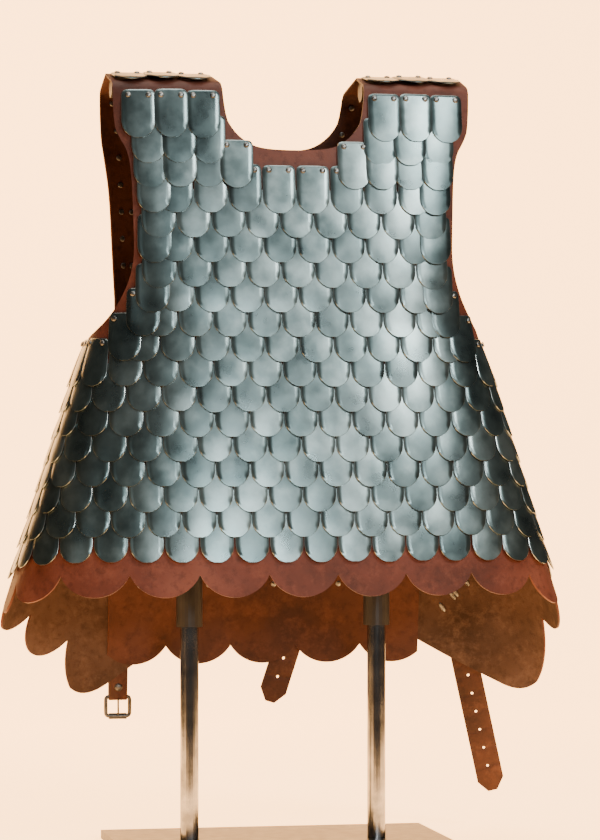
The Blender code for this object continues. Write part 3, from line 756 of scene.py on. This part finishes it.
straps = []
for name, station, top, lean, length, count, stand_off in HANGING:
    seat, fall, across = hanging_seat(station, top, max(top - length, BACK_HEM), stand_off)
    drops = [length - TIP_TO_HOLE - HOLE_PITCH * number for number in range(count)]
    half = STRAP_WIDTH / 2.0
    right = [(half, 0.0), (half, length - TIP_LENGTH), (half * TIP_SHARE, length)]
    outline = right + [(-width, drop) for width, drop in reversed(right)]
    holes = [circle((0.0, drop), HOLE_RADIUS) for drop in drops]
    point = hanging_point(seat, fall, across, lean, drops)
    strap = panel_mesh(f"{name}_hide", outline, point, seed=1.3, faces_at=(0.0, STRAP_THICK),
                       cell=STRAP_CELL, holes=holes)
    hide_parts(name)
    straps.append(strap)
for side, station in (("left", -SHOULDER_STATION), ("right", SHOULDER_STATION)):
    half, reach = STRAP_WIDTH / 2.0, RIDGE + SHOULDER_REACH
    outline = [(station - half, TOP), (station + half, TOP), (station + half, reach),
               (station, reach + half), (station - half, reach)]
    strap = panel_mesh(f"shoulder_{side}_hide", outline, front_point, seed=0.4,
                       faces_at=(LEATHER + 2.0 * SEAM, LEATHER + STRAP_THICK), cell=2.0 * STRAP_CELL)
    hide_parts(f"shoulder_strap_{side}")
    straps.append(strap)


def swept(name, path, profile, side_axis, closed=False):
    """A closed profile of (side, out) places carried along a path of points."""
    path = np.array(path)
    if closed:
        along = np.roll(path, -1, axis=0) - np.roll(path, 1, axis=0)
    else:
        along = np.gradient(path, axis=0)
    along /= np.linalg.norm(along, axis=1, keepdims=True)
    side = np.broadcast_to(np.array(side_axis), path.shape)
    out = np.cross(side, along)
    out /= np.linalg.norm(out, axis=1, keepdims=True)
    shape = np.array(profile)
    points = path[:, None, :] + side[:, None, :] * shape[None, :, :1]
    points = points + out[:, None, :] * shape[None, :, 1:]
    number, corners = len(path), len(shape)
    index = np.arange(number * corners).reshape(number, corners)
    after = np.roll(index, -1, axis=0) if closed else index[1:]
    before = index if closed else index[:-1]
    quads = np.stack([before, np.roll(before, -1, axis=1), np.roll(after, -1, axis=1), after], axis=-1)
    faces = quads.reshape(-1, 4).tolist()
    if not closed:
        faces += [index[0, ::-1].tolist(), index[-1].tolist()]
    mesh = bpy.data.meshes.new(name)
    mesh.from_pydata(points.reshape(-1, 3).tolist(), [], faces)
    faces_out(mesh)
    return new_piece(name, mesh, SHARP_EDGE)


# %% Folded strap
wire = BUCKLE_WIRE / 2.0
loop_points = np.array([tuple(vert.co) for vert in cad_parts["buckle_frame"].data.vertices])
loop_low, loop_high = loop_points.min(axis=0) + wire, loop_points.max(axis=0) - wire
bar = np.array([(loop_low[0] + loop_high[0]) / 2.0, (loop_low[1] + loop_high[1]) / 2.0, loop_high[2]])
seat, fall, across = hanging_seat(BUCKLE_STATION, BUCKLE_STRAP_TOP, BACK_HEM, BUCKLE_STRAP_OVER)
turn_radius = wire + STRAP_THICK / 2.0 + SEAM
height = np.linspace(BUCKLE_STRAP_TOP, bar[2], HANG_STEPS)
share = np.linspace(0.0, 1.0, HANG_STEPS)
hang_y = seat[1] + (bar[1] - turn_radius - seat[1]) * share
route = [(bar[0], y, z) for y, z in zip(hang_y, height)]
for angle in np.radians(np.linspace(*FOLD_TURN, TURN_STEPS)):
    y = bar[1] + turn_radius * math.cos(angle)
    route.append((bar[0], y, bar[2] + turn_radius * math.sin(angle)))
for step in range(1, FOLD_STEPS + 1):
    route.append((bar[0], bar[1] + turn_radius, bar[2] + FOLD_LENGTH * step / FOLD_STEPS))
half, thin, cut = BUCKLE_STRAP_WIDTH / 2.0, STRAP_THICK / 2.0, BAND_EDGE
band = [(half, thin - cut), (half - cut, thin), (cut - half, thin), (-half, thin - cut),
        (-half, cut - thin), (cut - half, -thin), (half - cut, -thin), (half, cut - thin)]
folded = swept("folded_strap", route, band, (1.0, 0.0, 0.0))
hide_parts("buckle_strap")
straps.append(folded)

# %% Buckle, roller and stud
round_wire = circle((0.0, 0.0), wire, WIRE_SIDES)
spread = (loop_high - loop_low) / 2.0
middle = (loop_high + loop_low) / 2.0
turns = np.linspace(0.0, 2.0 * np.pi, BUCKLE_STEPS, endpoint=False)
corner_power = 2.0 / BUCKLE_SQUARENESS
loop_x = middle[0] + spread[0] * np.sign(np.cos(turns)) * np.abs(np.cos(turns)) ** corner_power
loop_z = middle[2] + spread[2] * np.sign(np.sin(turns)) * np.abs(np.sin(turns)) ** corner_power
buckle = swept("buckle_loop", [(x, middle[1], z) for x, z in zip(loop_x, loop_z)], round_wire,
               (0.0, 1.0, 0.0), closed=True)
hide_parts("buckle_frame")
roller_places = [(middle[0] + reach, middle[1], loop_low[2])
                 for reach in np.linspace(-ROLLER_HALF, ROLLER_HALF, 3)]
roller_rim = circle((0.0, 0.0), ROLLER_RADIUS, sides=16)
roller = swept("buckle_roller", roller_places, roller_rim, (0.0, 1.0, 0.0))
east, north, up, dome_faces = dome_template(STUD_RADIUS, STUD_HEIGHT, sides=14)
stud_centre = np.array([bar[0], 0.0, bar[2] + STUD_ABOVE_BAR])
stud_centre[1] = np.interp(stud_centre[2], height[::-1], hang_y[::-1]) - thin + STUD_SINK
stud_mesh = bpy.data.meshes.new("strap_stud")
stud_mesh.from_pydata((stud_centre + np.column_stack([east, -up, north])).tolist(), [], dome_faces)
stud = new_piece("strap_stud", stud_mesh)
buckle_pieces = [buckle, roller, stud]
print("straps", [piece.name for piece in straps], "buckle", [piece.name for piece in buckle_pieces])

# %% [markdown]
# Leather is a skin: fine dark pores, slow changes of tone where it was handled, and pale scuffs.
# Noise at three sizes makes these in object space, and two of the noises also drive the bump, so
# colour and relief agree. The flesh side of the front is greyer, rougher and more fibrous.

# %% Shader helpers
def new_material(name):
    """A material with its node tree, its Principled shader and its object coordinates."""
    material = bpy.data.materials.new(name)
    material.use_nodes = True
    tree = material.node_tree
    place = tree.nodes.new("ShaderNodeTexCoord").outputs["Object"]
    return material, tree, tree.nodes["Principled BSDF"], place


def add(tree, kind, settings=None, **links):
    """One node: settings by socket name, number or property, links by socket name."""
    node = tree.nodes.new(kind)
    for key, value in (settings or {}).items():
        if isinstance(key, int) or key in node.inputs:
            node.inputs[key].default_value = value
        else:
            setattr(node, key, value)
    for key, source in links.items():
        tree.links.new(source, node.inputs[key.replace("_", " ")])
    return node


def ramp(tree, source, stops):
    """Colour ramp with (place, colour) stops."""
    node = tree.nodes.new("ShaderNodeValToRGB")
    elements = node.color_ramp.elements
    while len(elements) < len(stops):
        elements.new(0.5)
    for element, (place, colour) in zip(elements, stops):
        element.position = place
        element.color = (*colour, 1.0)
    tree.links.new(source, node.inputs["Fac"])
    return node.outputs["Color"]


def mask(tree, source, low, first, high, second):
    """Grey ramp from a first value at low to a second one at high."""
    return ramp(tree, source, ((low, (first,) * 3), (high, (second,) * 3)))


def blend_colour(tree, share, first, second, mode="MIX"):
    """Mix of two colours or sockets by a socket or number."""
    node = tree.nodes.new("ShaderNodeMix")
    node.data_type = "RGBA"
    node.blend_type = mode
    for socket, value in ((node.inputs[0], share), (node.inputs[6], first), (node.inputs[7], second)):
        if hasattr(value, "links"):
            tree.links.new(value, socket)
        else:
            socket.default_value = value if isinstance(value, float) else (*value, 1.0)
    return node.outputs[2]


def noise(tree, place, scale, detail=4.0, rough=0.55):
    """Noise texture read at object coordinates."""
    settings = {"Scale": scale, "Detail": detail, "Roughness": rough}
    return add(tree, "ShaderNodeTexNoise", settings, Vector=place).outputs["Fac"]


def vary_roughness(tree, shader, source, start, stop, low, high):
    """Roughness from low to high while a noise goes from start to stop."""
    settings = {"From Min": start, "From Max": stop, "To Min": low, "To Max": high}
    rough = add(tree, "ShaderNodeMapRange", settings, Value=source)
    tree.links.new(rough.outputs["Result"], shader.inputs["Roughness"])


# %% Leather
def leather_material(name, deep, middle, pale, roughness, grain):
    """Tone from slow noise, pale scuffs from a middle one, dark pores from a fine one."""
    material, tree, shader, place = new_material(name)
    slow = noise(tree, place, 5.0, 5.0, 0.6)
    fine = noise(tree, place, 90.0, 6.0, 0.65)
    scuff = noise(tree, place, 26.0, 8.0, 0.75)
    pores = add(tree, "ShaderNodeTexVoronoi", {"Scale": 420.0, "feature": "DISTANCE_TO_EDGE"},
                Vector=place)
    tone = ramp(tree, slow, ((0.30, deep), (0.50, middle), (0.72, pale)))
    tone = blend_colour(tree, mask(tree, scuff, 0.50, 0.0, 0.72, 0.75), tone, pale)
    tone = blend_colour(tree, mask(tree, fine, 0.30, 0.55, 0.50, 0.0), tone, deep)
    tree.links.new(tone, shader.inputs["Base Color"])
    vary_roughness(tree, shader, scuff, 0.0, 1.0, roughness - 0.10, roughness + 0.14)
    low = add(tree, "ShaderNodeBump", {"Strength": grain, "Distance": 0.0009}, Height=fine)
    high = add(tree, "ShaderNodeBump", {"Strength": grain * 0.6, "Distance": 0.0004},
               Height=pores.outputs["Distance"], Normal=low.outputs["Normal"])
    wide = add(tree, "ShaderNodeBump", {"Strength": 0.35, "Distance": 0.0030}, Height=slow,
               Normal=high.outputs["Normal"])
    tree.links.new(wide.outputs["Normal"], shader.inputs["Normal"])
    shader.inputs["Specular IOR Level"].default_value = 0.20
    return material


LEATHERS = (
    # name, deep, middle and pale colour, roughness, strength of the grain
    ("grain_side", (0.030, 0.009, 0.005), (0.086, 0.024, 0.014), (0.150, 0.050, 0.031), 0.52, 0.5),
    ("flesh_side", (0.022, 0.012, 0.008), (0.064, 0.035, 0.023), (0.125, 0.074, 0.051), 0.80, 0.9),
    ("back_grain", (0.060, 0.020, 0.010), (0.130, 0.042, 0.022), (0.220, 0.080, 0.044), 0.66, 0.6),
    ("back_flesh", (0.018, 0.006, 0.004), (0.066, 0.022, 0.012), (0.115, 0.042, 0.024), 0.62, 0.8),
    ("strap_hide", (0.018, 0.006, 0.003), (0.062, 0.020, 0.009), (0.125, 0.048, 0.023), 0.50, 0.6),
)
leathers = {row[0]: leather_material(*row) for row in LEATHERS}
SIDES = [(front_hide, "grain_side", "flesh_side"), (back_hide, "back_grain", "back_flesh")]
SIDES += [(strap, "strap_hide", "strap_hide") for strap in straps]
for piece, outside, inside in SIDES:
    piece.data.materials.append(leathers[outside])
    piece.data.materials.append(leathers[inside])
print("leathers", sorted(leathers))

# %% [markdown]
# The scales are mild steel that was ground, handled and oiled: grey with a green-blue cast,
# cloudy, a little different from plate to plate, bright along the bevel, where wear and a painted
# highlight both lighten the colour, and with a few rust specks. The tone and edge attributes of
# the meshes feed the colour, so no two plates match. A single metal colour would read as plastic sheet.

# %% Steel and iron
STEEL_TONES = ((0.38, (0.040, 0.062, 0.065)), (0.72, (0.096, 0.138, 0.140)), (1.00, (0.190, 0.250, 0.250)))
CLOUDY_STEEL = (0.19, 0.235, 0.235)
# Pale colour of the plate edges: partly wear, partly a painted highlight
WORN_EDGE_AND_HIGHLIGHT = (0.50, 0.55, 0.54)
RUST = (0.13, 0.052, 0.026)


def attribute(tree, name):
    """A value stored on the mesh points."""
    return add(tree, "ShaderNodeAttribute", {"attribute_name": name}).outputs["Fac"]


def steel_material(name):
    """Cloud noise and plate tone for colour; edge for wear and a painted highlight; sparse noise peaks for
    rust.
    """
    material, tree, shader, place = new_material(name)
    tone = attribute(tree, "tone")
    edge = attribute(tree, "edge")
    cloud = noise(tree, place, 30.0, 4.0, 0.50)
    wide = noise(tree, place, 9.0, 3.0, 0.5)
    specks = noise(tree, place, 150.0, 3.0, 0.7)
    rust = noise(tree, place, 14.0, 6.0, 0.7)
    mixed = add(tree, "ShaderNodeMath", {"operation": "MULTIPLY_ADD", 1: 0.34, 2: 0.06})
    tree.links.new(tone, mixed.inputs[0])
    total = add(tree, "ShaderNodeMath", {"operation": "ADD"})
    tree.links.new(mixed.outputs[0], total.inputs[0])
    tree.links.new(cloud, total.inputs[1])
    colour = ramp(tree, total.outputs[0], STEEL_TONES)
    colour = blend_colour(tree, mask(tree, wide, 0.40, 0.0, 0.70, 0.30), colour, CLOUDY_STEEL)
    # Painted highlight and wear: pale steel along every plate edge, all round each plate
    colour = blend_colour(tree, mask(tree, edge, 0.25, 0.0, 0.95, 0.75), colour, WORN_EDGE_AND_HIGHLIGHT)
    fleck = mask(tree, specks, 0.66, 0.0, 0.72, 1.0)
    patch = mask(tree, rust, 0.70, 0.0, 0.76, 1.0)
    rusty = blend_colour(tree, 1.0, fleck, patch, "MULTIPLY")
    colour = blend_colour(tree, rusty, colour, RUST)
    tree.links.new(colour, shader.inputs["Base Color"])
    shader.inputs["Metallic"].default_value = 0.92
    vary_roughness(tree, shader, cloud, 0.3, 0.75, 0.26, 0.36)
    dents = add(tree, "ShaderNodeBump", {"Strength": 0.10, "Distance": 0.0012}, Height=wide)
    grit = add(tree, "ShaderNodeBump", {"Strength": 0.08, "Distance": 0.0003}, Height=specks,
               Normal=dents.outputs["Normal"])
    tree.links.new(grit.outputs["Normal"], shader.inputs["Normal"])
    return material


def metal_material(name, dark, light, roughness, metallic, scale):
    """Two tones by noise, roughness by the same noise, a slight bump."""
    material, tree, shader, place = new_material(name)
    cloud = noise(tree, place, scale, 5.0, 0.6)
    tree.links.new(ramp(tree, cloud, ((0.35, dark), (0.70, light))), shader.inputs["Base Color"])
    shader.inputs["Metallic"].default_value = metallic
    vary_roughness(tree, shader, cloud, 0.0, 1.0, roughness * 0.8, roughness * 1.25)
    bump = add(tree, "ShaderNodeBump", {"Strength": 0.15, "Distance": 0.0003}, Height=cloud)
    tree.links.new(bump.outputs["Normal"], shader.inputs["Normal"])
    return material


METALS = (
    # name, dark and light colour, roughness, metallic, scale of the clouds
    ("rivet_iron", (0.10, 0.10, 0.095), (0.33, 0.33, 0.31), 0.38, 0.95, 120.0),
    ("dark_iron", (0.05, 0.048, 0.045), (0.16, 0.155, 0.145), 0.42, 0.9, 90.0),
    ("black_sleeve", (0.004, 0.004, 0.004), (0.010, 0.010, 0.010), 0.42, 0.0, 60.0),
    ("pole_chrome", (0.20, 0.205, 0.21), (0.42, 0.425, 0.43), 0.14, 1.0, 30.0),
)
plate_steel = steel_material("plate_steel")
metals = {row[0]: metal_material(*row) for row in METALS}
for pieces, finish in ((front_rows + back_rows, plate_steel), (rivet_pieces, metals["rivet_iron"]),
                       (buckle_pieces, metals["dark_iron"])):
    for piece in pieces:
        piece.data.materials.append(finish)

# %% Finish of the stand and the prong
PRONG_EDGE = 0.0004
STAND_EDGE = 0.0015
FINISHES = {"dark_iron": ["buckle_prong"], "pole_chrome": ["pole_left", "pole_right"],
            "black_sleeve": ["base_plate", "arm_left", "arm_right", "sleeve_left", "sleeve_right"]}
for finish, names in FINISHES.items():
    for solid in [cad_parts[name] for name in names]:
        solid.data.materials.clear()
        solid.data.materials.append(metals[finish])
        edge_round = solid.modifiers.new("edge_round", "BEVEL")
        edge_round.width = PRONG_EDGE if finish == "dark_iron" else STAND_EDGE
        edge_round.segments = 2
        edge_round.limit_method = "ANGLE"
        edge_round.angle_limit = math.radians(SHARP_EDGE)
    print(finish, "on", names)

# %% [markdown]
# The camera stands nearly five metres off, level with the vest's middle and eleven degrees to
# the left of its front. A key light at the upper right gives the plates there their shine, a low
# one in front brightens the rows above the hem, one from above reaches the shoulders, and the
# fill at the left is faint. Cream paper is the floor and runs up into a wall in one sweep. It
# glows by itself, so it keeps its pale colour while the lamps on the vest stay low.

# %% Paper and air
CREAM = (0.90, 0.66, 0.42)
CREAM_LIGHT = (0.91, 0.67, 0.43)
PAPER_GLOW = (1.0, 0.50, 0.18, 1.0)
PAPER_STRENGTH = 5.60
PAPER_SINK = 0.0002
AIR_COLOUR = (1.0, 0.95, 0.88, 1.0)
AIR_STRENGTH = 0.06


def sweep_mesh(name, half_width, front, back, height, radius):
    """A profile carried sideways: floor, quarter circle and wall."""
    turn = np.linspace(0.0, math.pi / 2.0, 17)
    curve_y = back - radius + radius * np.sin(turn)
    curve_z = radius - radius * np.cos(turn)
    y = np.concatenate([[front], curve_y, [back]])
    z = np.concatenate([[0.0], curve_z, [height]]) - PAPER_SINK
    points = np.array([(side, a, b) for side in (-half_width, half_width) for a, b in zip(y, z)])
    mesh = bpy.data.meshes.new(name)
    mesh.from_pydata(points.tolist(), [], grid_faces(2, len(y)).tolist())
    mesh.shade_smooth()
    thing = bpy.data.objects.new(name, mesh)
    bpy.context.scene.collection.objects.link(thing)
    return thing


studio = sweep_mesh("studio_sweep", half_width=1.7, front=-0.8, back=3.2, height=2.6, radius=1.2)
paper, paper_tree, paper_shader, paper_place = new_material("cream_paper")
paper_cloud = noise(paper_tree, paper_place, 3.0, 2.0)
paper_tone = ramp(paper_tree, paper_cloud, ((0.3, CREAM), (0.7, CREAM_LIGHT)))
paper_tree.links.new(paper_tone, paper_shader.inputs["Base Color"])
paper_shader.inputs["Roughness"].default_value = 0.9
paper_shader.inputs["Emission Color"].default_value = PAPER_GLOW
paper_shader.inputs["Emission Strength"].default_value = PAPER_STRENGTH
studio.data.materials.append(paper)

world = bpy.data.worlds.new("studio_air")
bpy.context.scene.world = world
world.use_nodes = True
air = world.node_tree.nodes["Background"]
air.inputs["Color"].default_value = AIR_COLOUR
air.inputs["Strength"].default_value = AIR_STRENGTH

# %% Lamps
LAMPS = (
    # name, place, target, size, power in watts, colour
    ("key", (1.5, -2.6, 2.3), (0.05, 0.0, 0.7), 0.7, 80.0, (1.0, 0.98, 0.95)),
    ("fill", (-2.6, -2.6, 1.3), (0.0, 0.0, 0.6), 0.9, 3.0, (0.90, 0.98, 1.0)),
    ("low_front", (0.20, -3.4, 1.20), (-0.10, 0.0, 0.38), 0.5, 42.0, (0.97, 1.0, 1.0)),
    ("top", (0.0, -0.9, 3.0), (0.0, 0.0, 0.6), 1.2, 26.0, (1.0, 0.98, 0.95)),
    ("wall", (0.0, 0.9, 3.6), (0.0, 3.2, 1.2), 3.0, 120.0, (1.0, 0.88, 0.74)),
)


def soft_light(name, place, target, size, power, colour):
    """Square area light that faces a target."""
    light = bpy.data.lights.new(name, "AREA")
    light.size = size
    light.energy = power
    light.color = colour
    lamp = bpy.data.objects.new(name, light)
    lamp.location = place
    lamp.rotation_euler = (Vector(target) - Vector(place)).to_track_quat("-Z", "Y").to_euler()
    bpy.context.scene.collection.objects.link(lamp)


for lamp_row in LAMPS:
    soft_light(*lamp_row)
print("lamps", [lamp_row[0] for lamp_row in LAMPS])

# %% Camera
FRAME_HEIGHT = 1.134
DISTANCE = 4.8
AZIMUTH = math.radians(11.0)
SENSOR = 36.0
target = Vector((0.004, -0.100, 0.5905))
camera_data = bpy.data.cameras.new("camera")
camera = bpy.data.objects.new("camera", camera_data)
camera.location = target + DISTANCE * Vector((-math.sin(AZIMUTH), -math.cos(AZIMUTH), 0.0))
camera.rotation_euler = (target - camera.location).to_track_quat("-Z", "Y").to_euler()
camera_data.sensor_width = SENSOR
camera_data.lens = SENSOR * DISTANCE / FRAME_HEIGHT
bpy.context.scene.collection.objects.link(camera)
bpy.context.scene.camera = camera
print("camera at", [round(value, 3) for value in camera.location], "lens", round(camera_data.lens, 1))
